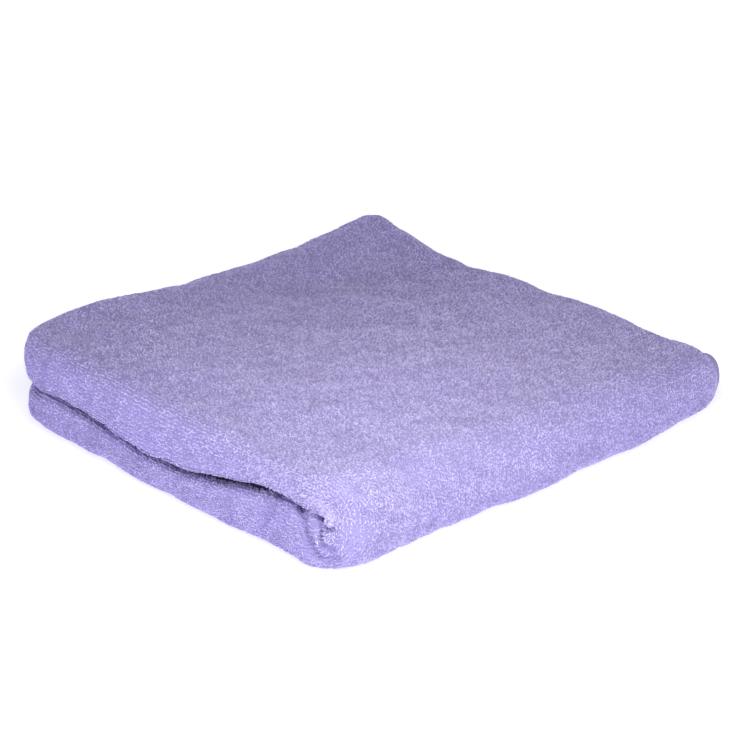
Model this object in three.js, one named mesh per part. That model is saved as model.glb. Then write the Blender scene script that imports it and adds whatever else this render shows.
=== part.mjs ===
import * as THREE from 'three';
import { mergeVertices } from 'three/addons/utils/BufferGeometryUtils.js';

// A terry towel, folded in half three times into a flat square pack of eight plies.
// Millimetres, +Z up. X runs to the main fold, Y runs from the two rolled edges to the
// bound side edges at the back. Every piece is laid out flat, as the cloth was cut, and
// is then carried through the same three folds, so neighbours keep their clearances.

// Cloth, as cut and sewn
const CLOTH_WIDTH = 500;
const CLOTH_LENGTH = 1000;
const PLY_PITCH = 5.35;         // one ply of loose pile with its share of air
const PLY_CLEARANCE = 0.5;      // air between two plies that lie on each other
const FOLD_CORE = 0.6;          // radius of the hollow left at the heart of a big fold
const PIECE_GAP = 0.3;          // between pieces that meet edge to edge

// Binding tape round the cut edges
const BINDING_WIDTH = 9;        // how far the tape reaches in from the edge
const BINDING_THICKNESS = 0.7;
const BINDING_CLEARANCE = 0.45; // between the tape and the cloth inside it
const BINDING_SPACING = 1.05;   // air between the bindings of two plies
const EDGE_RAMP = 8;            // over which the cloth swells to its full thickness

// Care label, sewn on side edge B
const LABEL_WIDTH = 26;
const LABEL_INSIDE = 12;        // hidden between the two halves of the pack
const LABEL_OUTSIDE = 9;        // hanging out at the back
const LABEL_THICKNESS = 0.4;
const LABEL_DROOP = 5;
const LABEL_FROM_END = 78;      // from the cloth's end edge to the near side of the label

// How the pack has settled: the part of its loose height that is left at each corner,
// and the lower half's part of that height there
const SETTLED = { nearFold: 1.0, nearEnd: 1.0, farFold: 0.55, farEnd: 0.79 };
const LOWER_PART = { nearFold: 0.56, nearEnd: 0.45, farFold: 0.5, farEnd: 0.5 };
const BACK_DROOP = 0.35;        // part of its height that the bound back edge loses
const END_DROOP = 0.16;         // the same at the end away from the main fold

// Facets
const ROLL_STEPS = 10;
const MAIN_FOLD_STEPS = 14;
const END_FOLD_STEPS = 4;
const FLAT_STEPS_ACROSS = 5;
const FLAT_STEPS_ALONG = 6;
const BINDING_BEND_STEPS = 4;
const LABEL_STEPS = 5;

// Worked out from the driving dimensions
const PLY_THICKNESS = PLY_PITCH - PLY_CLEARANCE;
const EDGE_THICKNESS = PLY_PITCH - BINDING_SPACING - 2 * (BINDING_CLEARANCE + BINDING_THICKNESS);
const ROLL_RADIUS = 2 * PLY_PITCH + FOLD_CORE;
const MAIN_FOLD_RADIUS = 2 * ROLL_RADIUS + FOLD_CORE;
const END_BEND = Math.PI * PLY_PITCH / 4;
const ROLL_BEND = Math.PI * (ROLL_RADIUS - PLY_PITCH / 2) / 2;
const MAIN_BEND = Math.PI * (MAIN_FOLD_RADIUS - PLY_PITCH / 2) / 2;
const END_FOLD_AT = CLOTH_LENGTH / 2 - END_BEND;
const STRIP_LENGTH = END_FOLD_AT + PLY_PITCH;
const MAIN_FOLD_START = STRIP_LENGTH / 2 - MAIN_BEND;
const MAIN_FOLD_END = STRIP_LENGTH / 2 + MAIN_BEND;
const ROLL_START = CLOTH_WIDTH / 2 - ROLL_BEND;
const ROLL_END = CLOTH_WIDTH / 2 + ROLL_BEND;
const PACK_DEPTH = ROLL_START + ROLL_RADIUS;
const DROOP_REACH = BINDING_WIDTH + EDGE_RAMP;

const range = (from, to, steps) =>
  Array.from({ length: steps + 1 }, (_, i) => from + (to - from) * i / steps);
const join = (...lists) => lists.reduce((all, list) => all.concat(list.slice(all.length ? 1 : 0)), []);

// First fold: the cloth's length is halved. Depth grows from the outer face inwards.
function foldEnd(along, depth) {
  const turn = Math.PI * THREE.MathUtils.clamp((along - END_FOLD_AT) / (2 * END_BEND), 0, 1);
  const radius = PLY_PITCH - depth;
  const before = Math.min(along, END_FOLD_AT);
  const after = Math.max(along - END_FOLD_AT - 2 * END_BEND, 0);
  return [before - after + radius * Math.sin(turn), PLY_PITCH - radius * Math.cos(turn)];
}

// Second fold: the width is halved, and the bend becomes the rolled edge at the front.
function foldRoll(across, depth) {
  const turn = Math.PI * THREE.MathUtils.clamp((across - ROLL_START) / (ROLL_END - ROLL_START), 0, 1);
  const radius = ROLL_RADIUS - depth;
  const flat = Math.max(ROLL_START - across, across - ROLL_END, 0);
  return [flat - radius * Math.sin(turn), ROLL_RADIUS - radius * Math.cos(turn)];
}

// Third fold: the strip is halved over the main fold, and its far part becomes the upper half.
function foldMain(along, depth) {
  const bend = MAIN_FOLD_END - MAIN_FOLD_START;
  const turn = Math.PI * THREE.MathUtils.clamp((along - MAIN_FOLD_START) / bend, 0, 1);
  const radius = MAIN_FOLD_RADIUS - depth;
  const flat = Math.max(MAIN_FOLD_START - along, along - MAIN_FOLD_END, 0);
  return [radius * Math.sin(turn) - flat, MAIN_FOLD_RADIUS - radius * Math.cos(turn)];
}

// The settled pack: lower towards the back, where the plies have been pressed together,
// and drooping towards its two open edges.
function settle(x, y, z) {
  const toFold = THREE.MathUtils.clamp(1 + x / MAIN_FOLD_START, 0, 1);
  const toBack = THREE.MathUtils.clamp((y + ROLL_RADIUS) / PACK_DEPTH, 0, 1);
  const backDroop = BACK_DROOP * Math.max(0, 1 + (y - ROLL_START) / DROOP_REACH);
  const endDroop = END_DROOP * Math.max(0, 1 - (x + MAIN_FOLD_START) / DROOP_REACH);
  const mix = (corner) => THREE.MathUtils.lerp(
    THREE.MathUtils.lerp(corner.nearEnd, corner.nearFold, toFold),
    THREE.MathUtils.lerp(corner.farEnd, corner.farFold, toFold),
    toBack,
  );
  const looseHalf = MAIN_FOLD_RADIUS - PLY_CLEARANCE / 2;
  const height = 2 * looseHalf * mix(SETTLED) * (1 - backDroop) * (1 - endDroop);
  const lower = height * mix(LOWER_PART);
  const share = (z - PLY_CLEARANCE / 2) / looseHalf;
  return share < 1 ? share * lower : lower + (share - 1) * (height - lower);
}

// Carries a point of the flat cloth into the folded pack.
function fold(across, along, depth) {
  const [strip, pairDepth] = foldEnd(along, depth);
  const [y, packDepth] = foldRoll(across, pairDepth);
  const [x, z] = foldMain(strip, packDepth);
  return new THREE.Vector3(x, y, settle(x, y, z));
}

// A closed slab on two lists of stations. Its point function turns the stations and the
// inner (0) or outer (1) skin into a point of the flat cloth.
function slab(firstStations, secondStations, flatPoint) {
  const [firstSteps, secondSteps] = [firstStations.length - 1, secondStations.length - 1];
  const box = new THREE.BoxGeometry(1, 1, 1, firstSteps, secondSteps, 1);
  box.deleteAttribute('normal');
  box.deleteAttribute('uv');
  const geometry = mergeVertices(box);
  const position = geometry.attributes.position;
  for (let i = 0; i < position.count; i += 1) {
    const first = firstStations[Math.round((position.getX(i) + 0.5) * firstSteps)];
    const second = secondStations[Math.round((position.getY(i) + 0.5) * secondSteps)];
    const point = fold(...flatPoint(first, second, position.getZ(i) > 0 ? 1 : 0));
    position.setXYZ(i, point.x, point.y, point.z);
  }
  geometry.computeVertexNormals();
  return geometry;
}

// Stations along the cloth for each stretch between the folds
const alongStretches = {
  lower_outer: join(
    [0, BINDING_WIDTH, BINDING_WIDTH + EDGE_RAMP],
    range(BINDING_WIDTH + EDGE_RAMP, MAIN_FOLD_START - PIECE_GAP, FLAT_STEPS_ALONG),
  ),
  fold_outer: range(MAIN_FOLD_START, MAIN_FOLD_END, MAIN_FOLD_STEPS),
  upper: join(
    range(MAIN_FOLD_END + PIECE_GAP, END_FOLD_AT - EDGE_RAMP, FLAT_STEPS_ALONG),
    range(END_FOLD_AT - EDGE_RAMP, END_FOLD_AT, 1),
    range(END_FOLD_AT, END_FOLD_AT + 2 * END_BEND, END_FOLD_STEPS),
    range(CLOTH_LENGTH - END_FOLD_AT, CLOTH_LENGTH - END_FOLD_AT + EDGE_RAMP, 1),
    range(CLOTH_LENGTH - END_FOLD_AT + EDGE_RAMP, CLOTH_LENGTH - MAIN_FOLD_END - PIECE_GAP, FLAT_STEPS_ALONG),
  ),
};
const mirrored = (stations) => stations.map((along) => CLOTH_LENGTH - along).reverse();
alongStretches.fold_inner = mirrored(alongStretches.fold_outer);
alongStretches.lower_inner = mirrored(alongStretches.lower_outer);

// Stations across the cloth, between two given ends
function acrossStations(ends) {
  const ramp = BINDING_WIDTH + EDGE_RAMP;
  const half = [...ends, ...range(ramp, ROLL_START, FLAT_STEPS_ACROSS)];
  const bend = range(ROLL_START, ROLL_END, ROLL_STEPS).slice(1, -1);
  return [...half, ...bend, ...half.map((across) => CLOTH_WIDTH - across).reverse()];
}

// The cloth is squeezed flat under the binding and swells to its full thickness beyond it.
function plyThickness(across, along) {
  const fromEdge = Math.min(across, CLOTH_WIDTH - across, along, CLOTH_LENGTH - along);
  const swell = THREE.MathUtils.clamp((fromEdge - BINDING_WIDTH) / EDGE_RAMP, 0, 1);
  return THREE.MathUtils.lerp(EDGE_THICKNESS, PLY_THICKNESS, swell);
}

function plyGeometry(alongStations) {
  return slab(acrossStations([0, BINDING_WIDTH]), alongStations, (across, along, skin) =>
    [across, along, PLY_PITCH / 2 + (skin - 0.5) * plyThickness(across, along)]);
}

// A tape's section, from its lower lip round the edge to its upper lip: the distance in from
// the edge and the height over the middle of the cloth.
const bindingStations = range(-1, BINDING_BEND_STEPS + 1, BINDING_BEND_STEPS + 2);
function bindingSection(station, skin) {
  const reach = EDGE_THICKNESS / 2 + BINDING_CLEARANCE + skin * BINDING_THICKNESS;
  const step = THREE.MathUtils.clamp(station, 0, BINDING_BEND_STEPS);
  const turn = Math.PI * step / BINDING_BEND_STEPS;
  const inwards = step === station ? -reach * Math.sin(turn) : BINDING_WIDTH;
  return [inwards, -reach * Math.cos(turn)];
}

function sideBindingGeometry(alongStations, onSideB) {
  return slab(bindingStations, alongStations, (station, along, skin) => {
    const [inwards, rise] = bindingSection(station, skin);
    return onSideB
      ? [CLOTH_WIDTH - inwards, along, PLY_PITCH / 2 - rise]
      : [inwards, along, PLY_PITCH / 2 + rise];
  });
}

function endBindingGeometry(onEndB) {
  const clearOfSide = BINDING_WIDTH + PIECE_GAP;
  return slab(acrossStations([clearOfSide]), bindingStations, (across, station, skin) => {
    const [inwards, rise] = bindingSection(station, skin);
    return onEndB
      ? [across, CLOTH_LENGTH - inwards, PLY_PITCH / 2 - rise]
      : [across, inwards, PLY_PITCH / 2 + rise];
  });
}

// The label lies on the outer face of the cloth, between the two halves of the pack,
// and droops where it leaves them.
function labelGeometry() {
  const stations = join(
    range(CLOTH_WIDTH - LABEL_INSIDE, CLOTH_WIDTH, 2),
    range(CLOTH_WIDTH, CLOTH_WIDTH + LABEL_OUTSIDE, LABEL_STEPS),
  );
  const sides = range(LABEL_FROM_END, LABEL_FROM_END + LABEL_WIDTH, 2);
  return slab(stations, sides, (across, along, skin) => {
    const out = Math.max(across - CLOTH_WIDTH, 0) / LABEL_OUTSIDE;
    const rest = PLY_CLEARANCE / 2 - PIECE_GAP - LABEL_THICKNESS;
    return [across, along, rest + skin * LABEL_THICKNESS + LABEL_DROOP * out * out];
  });
}

const terry = () => new THREE.MeshStandardMaterial({ color: '#9c8fd2', roughness: 0.95, metalness: 0 });
const tape = () => new THREE.MeshStandardMaterial({ color: '#8f82c6', roughness: 0.8, metalness: 0 });
const labelSatin = () => new THREE.MeshStandardMaterial({ color: '#f2f0ee', roughness: 0.5, metalness: 0 });

const towel = new THREE.Group();
function add(name, geometry, material) {
  const mesh = new THREE.Mesh(geometry, material);
  mesh.name = name;
  towel.add(mesh);
}

for (const [stretch, stations] of Object.entries(alongStretches)) {
  add(`${stretch}_ply`, plyGeometry(stations), terry());
  add(`side_a_binding_${stretch}`, sideBindingGeometry(stations, false), tape());
  add(`side_b_binding_${stretch}`, sideBindingGeometry(stations, true), tape());
}
add('end_a_binding', endBindingGeometry(false), tape());
add('end_b_binding', endBindingGeometry(true), tape());
add('care_label', labelGeometry(), labelSatin());

// The origin is on the ground, under the middle of the pack.
const extent = new THREE.Box3().setFromObject(towel);
const middle = extent.getCenter(new THREE.Vector3());
towel.position.set(-middle.x, -middle.y, -extent.min.z);

export default towel;
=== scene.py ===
"""A folded terry towel: one cloth folded in half three times, bound round its edges."""

import math

import bpy
import numpy as np
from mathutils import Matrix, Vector


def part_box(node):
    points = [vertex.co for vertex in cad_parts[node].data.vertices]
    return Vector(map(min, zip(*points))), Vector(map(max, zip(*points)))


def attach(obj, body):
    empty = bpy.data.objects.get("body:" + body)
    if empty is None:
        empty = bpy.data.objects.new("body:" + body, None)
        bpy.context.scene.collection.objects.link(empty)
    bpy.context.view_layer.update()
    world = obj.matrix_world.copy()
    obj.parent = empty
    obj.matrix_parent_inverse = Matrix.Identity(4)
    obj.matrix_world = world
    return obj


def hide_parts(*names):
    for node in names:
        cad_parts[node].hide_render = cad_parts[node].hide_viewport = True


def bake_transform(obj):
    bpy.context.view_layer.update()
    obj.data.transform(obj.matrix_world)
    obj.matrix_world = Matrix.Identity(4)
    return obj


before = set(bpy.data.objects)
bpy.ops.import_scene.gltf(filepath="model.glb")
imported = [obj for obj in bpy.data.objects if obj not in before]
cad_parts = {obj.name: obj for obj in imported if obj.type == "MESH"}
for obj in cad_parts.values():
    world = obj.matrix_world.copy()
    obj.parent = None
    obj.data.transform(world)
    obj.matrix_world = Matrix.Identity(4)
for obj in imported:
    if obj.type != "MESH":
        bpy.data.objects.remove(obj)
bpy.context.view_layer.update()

# Lengths are in millimetres until a mesh is made.
MM = 0.001

# ---------------------------------------------------------------- the cloth, as cut and folded
CLOTH_WIDTH = 500.0
CLOTH_LENGTH = 1000.0
PLY_PITCH = 5.35
PLY_CLEARANCE = 0.9
FOLD_CORE = 0.6
EDGE_THICKNESS = 1.9
EDGE_RAMP = 8.0
BINDING_WIDTH = 9.0
BINDING_THICKNESS = 0.6
BINDING_CLEARANCE = 0.1
# How far the tape's sewn edge wanders, and over what length
TAPE_WANDER = 0.5
TAPE_WANDER_REACH = 22.0
PIECE_GAP = 0.3

# Care label, sewn on side edge B
LABEL_WIDTH = 26.0
LABEL_FROM_END = 78.0
LABEL_INSIDE = 12.0
LABEL_OUTSIDE = 9.0
LABEL_DROOP = 5.0
LABEL_THICKNESS = 0.16
LABEL_LOOP = 0.5

# Terry loops: their size, how much they differ, and how unevenly they stand in their rows
LOOP_LENGTH = 1.35
LOOP_HEIGHT = 0.75
YARN_RADIUS = 0.25
LOOP_SPREAD = 0.22
LOOP_ASIDE = 0.28
LOOP_ALONG = 0.42
LOOP_TURN = 0.75
LOOP_LEAN = 0.24
# Tone of a loop from 0 to 1: its middle, each loop's own part, and two sizes of cloud
TONE_MIDDLE = 0.5
TONE_SPREAD = 0.4
TONE_CLOUDS = ((0.075, 4.5), (0.0525, 16.0))

# Lockstitch
STITCH_LENGTH = 2.3
STITCH_PITCH = 3.1
STITCH_SPREAD = 0.08
STITCH_JITTER = 0.15
STITCH_FROM_CORNER = 2.0
STITCH_FROM_CLOTH_END = 1.5
THREAD_THICKNESS = 0.62
STITCH_FROM_TAPE_EDGE = 2.0

ROLL_RADIUS = 2 * PLY_PITCH + FOLD_CORE
MAIN_FOLD_RADIUS = 2 * ROLL_RADIUS + FOLD_CORE
END_BEND = math.pi * PLY_PITCH / 4
ROLL_BEND = math.pi * (ROLL_RADIUS - PLY_PITCH / 2) / 2
MAIN_BEND = math.pi * (MAIN_FOLD_RADIUS - PLY_PITCH / 2) / 2
END_FOLD_AT = CLOTH_LENGTH / 2 - END_BEND
STRIP_LENGTH = END_FOLD_AT + PLY_PITCH
MAIN_FOLD_START = STRIP_LENGTH / 2 - MAIN_BEND
MAIN_FOLD_END = STRIP_LENGTH / 2 + MAIN_BEND
ROLL_START = CLOTH_WIDTH / 2 - ROLL_BEND
ROLL_END = CLOTH_WIDTH / 2 + ROLL_BEND
PACK_DEPTH = ROLL_START + ROLL_RADIUS
OUTER_SKIN = PLY_CLEARANCE / 2
INNER_SKIN = PLY_PITCH - PLY_CLEARANCE / 2

# Where the folded cloth lies in the frame: the start of the main fold, the rolled edge's
# foremost line, and the ground.
FOLD_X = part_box("fold_outer_ply")[0].x / MM
ROLL_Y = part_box("lower_outer_ply")[0].y / MM + ROLL_RADIUS
PLAN_X = (FOLD_X - MAIN_FOLD_START, FOLD_X + MAIN_FOLD_RADIUS)
PLAN_Y = (ROLL_Y - ROLL_RADIUS, ROLL_Y + ROLL_START)
PLAN_MIDDLE = ((PLAN_X[0] + PLAN_X[1]) / 2, (PLAN_Y[0] + PLAN_Y[1]) / 2)

# ---------------------------------------------------------------- how the pack has settled
# Height of the top along three sides, at even steps, and along the fourth by its ends
END_SIDE_TOPS = (43.7, 44.0, 37.6, 37.8, 45.4)     # from the rolled edge to the back
BACK_SIDE_TOPS = (45.4, 31.8, 32.6, 33.8, 28.8)    # from the open end to the main fold
FOLD_SIDE_TOPS = (43.2, 41.2, 38.2, 33.7, 28.8)    # from the rolled edge to the back
# Height of the slit between the two halves along the rolled edge, and where it is so high.
# It levels out to half the pack's height by the middle of the pack.
SLIT_AT = (-121.0, -68.0, -33.0, -6.0, 20.0, 48.0, 78.0, 100.0, 122.0)
SLIT_TOPS = (17.7, 20.7, 18.2, 14.7, 17.2, 23.2, 29.4, 28.6, 25.2)
SLIT_LEVEL_AT = 0.5
FLOOR_GAP = 1.3
# How square the rolled edge is on its outer side and at the slit, and the main fold: 2 is round
OUTER_SQUARENESS = 2.2
SLIT_SQUARENESS = 7.0
MAIN_SQUARENESS = 2.3
# How far the lower half's rolled edge leans back at the slit, and how far the slit stands
# open along the rolled edge, at even steps from the open end to the main fold
LOWER_LEAN = 0.3
LEAN_REACH = 34.0
SLIT_GAPS = (0.6, 0.9, 0.9, 1.3, 2.4, 1.0)
# Share of each half's height that the opening takes, and how it closes towards the main fold
SLIT_OPENS = 0.45
SLIT_CLOSED_FROM_FOLD = 6.0
SLIT_CLOSES_OVER = 30.0
# How far the eye of the main fold is squeezed outwards at the rolled edge
EYE_SHIFT = 10.0
EYE_REACH = 30.0
# At the open end of the rolled edge: how far the slit is drawn in and over what share of a half's
# height, how far the lower half swells out, and how far along both edges that reaches
END_PINCH = 3.0
PINCH_SHARE = 0.3
END_BULGE = 2.2
END_REACH = 40.0
# Droop of the open edges at the back and at the open end, as a share of the height
BACK_DROOP = 0.30
END_DROOP = 0.16
DROOP_REACH = 17.0
PLAN_STRETCH = (1.002, 1.012)
# Plan rounding of the four corners, and how far the back corner at the fold is lifted
CORNER_RADII = {(1, -1): 34.0, (-1, -1): 40.0, (1, 1): 26.0, (-1, 1): 9.0}
CORNER_LIFT = 4.5
CORNER_LIFT_REACH = 22.0
# Shallow hollows (negative) and humps on the top: x, y, height, reach along x and y
TOP_SWELLS = (
    (10, -54, -2.4, 34, 20),
    (42, 2, 1.9, 42, 30),
    (-88, -90, -2.6, 13, 38),
    (-84, 14, -2.6, 20, 20),
    (-66, 50, -3.0, 20, 20),
    (-50, 84, -2.4, 18, 18),
    (-30, -92, 0.9, 40, 12),
    (40, -114, -1.6, 80, 11),
    (117, -70, -1.2, 10, 60),
)
# Creases gathered into the rolled edge by the main fold, as lines in the flat cloth:
# from, to (across and along), depth and half width
CREASES = (
    ((263, 190), (250, 187), 1.8, 2.6),
    ((263, 196), (257, 204), 3.0, 1.6),
    ((257, 204), (252, 212), 3.0, 1.6),
    ((252, 212), (247, 222), 2.6, 1.7),
    ((247, 222), (243, 233), 1.6, 1.9),
    ((259, 214), (252, 226), 2.8, 1.4),
    ((252, 226), (246, 236), 2.2, 1.5),
    ((258, 220), (254, 238), 2.6, 1.2),
    ((254, 238), (250, 246), 2.2, 1.2),
)
# Waviness of the cloth's face: height and reach
FACE_SWELLS = ((0.45, 34.0), (0.22, 11.0))
# Ripples pressed across the main fold, in rows along the rolled edge
RIPPLE_HEIGHT = 0.34
RIPPLE_LENGTH = 12.5
# How far the cut edges are drawn in, at side A, side B, end A and end B, and how unevenly
SIDE_CREEP = (1.6, 2.08)
END_CREEP = (0.9, 1.35)
CREEP_REACH = 60.0
CREEP_UNEVEN = 0.6
CREEP_SWELL = 70.0

SEED = 7


def mixed(low, high, share):
    return low + (high - low) * share


def smooth(share):
    share = np.clip(share, 0, 1)
    return share * share * (3 - 2 * share)


def run_through(values, share):
    """A smooth curve through evenly spaced values."""
    values = np.asarray(values, float)
    last = len(values) - 1
    place = np.clip(share, 0, 1) * last
    step = np.minimum(place.astype(int), last - 1)
    part = place - step
    padded = np.concatenate([[2 * values[0] - values[1]], values, [2 * values[-1] - values[-2]]])
    before, start, end, after = (padded[step + i] for i in range(4))
    slope_in, slope_out = (end - before) / 2, (after - start) / 2
    return (
        start
        + slope_in * part
        + (3 * (end - start) - 2 * slope_in - slope_out) * part**2
        + (2 * (start - end) + slope_in + slope_out) * part**3
    )


def soft_noise(first, second, reach, seed, waves=24):
    """Smooth noise about zero, with swells about reach across."""
    random = np.random.default_rng(seed)
    turn = random.uniform(0, 2 * math.pi, waves)
    rate = random.uniform(0.6, 1.4, waves) * math.pi / reach
    phase = random.uniform(0, 2 * math.pi, waves)
    total = np.zeros(np.broadcast(first, second).shape)
    for t, k, p in zip(turn, rate, phase):
        total += np.sin(k * (first * math.cos(t) + second * math.sin(t)) + p)
    return total / math.sqrt(waves / 2)


# ---------------------------------------------------------------- folding
def fold_end(along, depth):
    turn = math.pi * np.clip((along - END_FOLD_AT) / (2 * END_BEND), 0, 1)
    radius = PLY_PITCH - depth
    run = np.minimum(along, END_FOLD_AT) - np.maximum(along - END_FOLD_AT - 2 * END_BEND, 0)
    return run + radius * np.sin(turn), PLY_PITCH - radius * np.cos(turn)


def squared(turn, squareness):
    """How far a round bend is pushed out at that turn to make a squarer one."""
    sides = np.abs(np.sin(turn)) ** squareness + np.abs(np.cos(turn)) ** squareness
    return sides ** (-1 / squareness)


def fold_roll(across, depth):
    turn = math.pi * np.clip((across - ROLL_START) / (ROLL_END - ROLL_START), 0, 1)
    squareness = np.where(np.cos(turn) > 0, OUTER_SQUARENESS, SLIT_SQUARENESS)
    radius = (ROLL_RADIUS - depth) * squared(turn, squareness)
    flat = np.maximum(np.maximum(ROLL_START - across, across - ROLL_END), 0)
    return flat - radius * np.sin(turn), ROLL_RADIUS - radius * np.cos(turn)


def fold_main(along, depth):
    turn = math.pi * np.clip((along - MAIN_FOLD_START) / (MAIN_FOLD_END - MAIN_FOLD_START), 0, 1)
    radius = (MAIN_FOLD_RADIUS - depth) * squared(turn, MAIN_SQUARENESS)
    flat = np.maximum(np.maximum(MAIN_FOLD_START - along, along - MAIN_FOLD_END), 0)
    return radius * np.sin(turn) - flat, MAIN_FOLD_RADIUS - radius * np.cos(turn)


def top_height(x, y):
    """Height of the settled pack over its plan, with no droop at the open edges."""
    to_fold = np.clip((x - PLAN_X[0]) / MAIN_FOLD_START, 0, 1)
    to_back = np.clip((y - PLAN_Y[0]) / PACK_DEPTH, 0, 1)
    front = mixed(END_SIDE_TOPS[0], FOLD_SIDE_TOPS[0], to_fold)
    back = run_through(BACK_SIDE_TOPS, to_fold)
    end = run_through(END_SIDE_TOPS, to_back)
    main = run_through(FOLD_SIDE_TOPS, to_back)
    corners = mixed(front, mixed(BACK_SIDE_TOPS[0], BACK_SIDE_TOPS[-1], to_fold), to_back)
    height = mixed(end, main, to_fold) + mixed(front, back, to_back) - corners
    for at_x, at_y, rise, reach_x, reach_y in TOP_SWELLS:
        height = height + rise * np.exp(-((x - at_x) / reach_x) ** 2 - ((y - at_y) / reach_y) ** 2)
    return height


def settle(x, y, z):
    """Turns the loose stack into the settled pack."""
    x, y = x + FOLD_X, y + ROLL_Y
    to_back = np.clip((y - PLAN_Y[0]) / PACK_DEPTH, 0, 1)
    top = top_height(x, y)
    slit = np.interp(x, SLIT_AT, SLIT_TOPS)
    slit = mixed(slit, top / 2, smooth(to_back / SLIT_LEVEL_AT))
    loose_half = MAIN_FOLD_RADIUS - OUTER_SKIN
    share = (z - OUTER_SKIN) / loose_half
    height = np.where(share < 1, share * slit, slit + (share - 1) * (top - slit))
    back_droop = BACK_DROOP * smooth(1 - (PLAN_Y[1] - y) / DROOP_REACH)
    end_droop = END_DROOP * smooth(1 - (x - PLAN_X[0]) / DROOP_REACH)
    height = FLOOR_GAP + height * (1 - back_droop) * (1 - end_droop)

    closing = smooth((PLAN_X[1] - SLIT_CLOSED_FROM_FOLD - x) / SLIT_CLOSES_OVER)
    at_roll = smooth(1 - (y - PLAN_Y[0]) / LEAN_REACH) * closing
    y = y + at_roll * np.where(share < 1, LOWER_LEAN * share, 0)
    gap = run_through(SLIT_GAPS, (x - PLAN_X[0]) / MAIN_FOLD_START)
    opening = np.sign(share - 1) * smooth(1 - np.abs(share - 1) / SLIT_OPENS)
    height = height + at_roll * opening * gap / 2
    at_end = smooth(1 - (x - PLAN_X[0]) / END_REACH) * smooth(1 - (y - PLAN_Y[0]) / END_REACH)
    drawn_in = END_PINCH * np.exp(-(((share - 1) / PINCH_SHARE) ** 2))
    drawn_in = at_end * (drawn_in - END_BULGE * np.sin(math.pi * np.clip(share, 0, 1)))
    x, y = round_corners(x + drawn_in, y + drawn_in)
    reach = np.hypot(x - PLAN_X[1], y - PLAN_Y[1]) / CORNER_LIFT_REACH
    height = height + CORNER_LIFT * np.exp(-reach * reach / 2)
    x = PLAN_MIDDLE[0] + (x - PLAN_MIDDLE[0]) * PLAN_STRETCH[0]
    y = PLAN_MIDDLE[1] + (y - PLAN_MIDDLE[1]) * PLAN_STRETCH[1]
    return np.stack([x, y, height], -1)


def round_corners(x, y):
    """Draws each square plan corner in to a round one."""
    new_x, new_y = x.copy(), y.copy()
    for (side_x, side_y), radius in CORNER_RADII.items():
        corner_x = PLAN_X[1] if side_x > 0 else PLAN_X[0]
        corner_y = PLAN_Y[1] if side_y > 0 else PLAN_Y[0]
        out_x = 1 - side_x * (corner_x - x) / radius
        out_y = 1 - side_y * (corner_y - y) / radius
        inside = (out_x > 0) & (out_y > 0)
        drawn_x = out_x * np.sqrt(1 - np.clip(out_y, 0, 1) ** 2 / 2)
        drawn_y = out_y * np.sqrt(1 - np.clip(out_x, 0, 1) ** 2 / 2)
        new_x = np.where(inside, corner_x - side_x * radius * (1 - drawn_x), new_x)
        new_y = np.where(inside, corner_y - side_y * radius * (1 - drawn_y), new_y)
    return new_x, new_y


def crept(across, along):
    """The flat cloth with its cut edges drawn in, by an uneven amount from ply to ply."""
    side = 1 + CREEP_UNEVEN * soft_noise(along, 0 * across, CREEP_SWELL, SEED + 2)
    end = 1 + CREEP_UNEVEN * soft_noise(0 * along, across, CREEP_SWELL, SEED + 3)
    at_a = smooth(1 - across / CREEP_REACH) * (across < CLOTH_WIDTH / 2)
    at_b = smooth(1 - (CLOTH_WIDTH - across) / CREEP_REACH) * (across > CLOTH_WIDTH / 2)
    across = across + side * (SIDE_CREEP[0] * at_a - SIDE_CREEP[1] * at_b)
    at_a = smooth(1 - along / CREEP_REACH) * (along < CLOTH_LENGTH / 2)
    at_b = smooth(1 - (CLOTH_LENGTH - along) / CREEP_REACH) * (along > CLOTH_LENGTH / 2)
    return across, along + end * (END_CREEP[0] * at_a - END_CREEP[1] * at_b)


def folded(across, along, depth):
    """A point of the flat cloth, carried into the settled pack."""
    across, along = crept(across, along)
    strip, pair_depth = fold_end(along, depth)
    y, pack_depth = fold_roll(across, pair_depth)
    x, z = fold_main(strip, pack_depth)
    from_eye = np.hypot(np.maximum(x, 0), z - MAIN_FOLD_RADIUS) / MAIN_FOLD_RADIUS
    at_roll = smooth(1 - (y + ROLL_RADIUS) / EYE_REACH)
    x = x + EYE_SHIFT * smooth(1 - from_eye) * at_roll * smooth((x + 3 * EYE_REACH) / EYE_REACH / 3)
    return settle(x, y, z)


def outward(across, along, depth):
    """Unit normal of the cloth's outer face in the pack."""
    step = 0.4
    over = folded(across + step, along, depth) - folded(across - step, along, depth)
    down = folded(across, along + step, depth) - folded(across, along - step, depth)
    normal = -np.cross(over, down)
    return normal / np.maximum(np.linalg.norm(normal, axis=-1, keepdims=True), 1e-9)


def crease(across, along, start, end, depth, width):
    """A soft furrow along one line of the flat cloth."""
    run_across, run_along = end[0] - start[0], end[1] - start[1]
    part = (across - start[0]) * run_across + (along - start[1]) * run_along
    part = np.clip(part / (run_across**2 + run_along**2), 0, 1)
    aside = np.hypot(across - start[0] - part * run_across, along - start[1] - part * run_along)
    return -depth * np.exp(-((aside / width) ** 2))


def gathered(across, along):
    """The creases together: none, or as deep as the deepest there."""
    deepest = np.zeros(np.broadcast(across, along).shape)
    for start, end, depth, width in CREASES:
        deepest = np.minimum(deepest, crease(across, along, start, end, depth, width))
    return deepest


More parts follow.
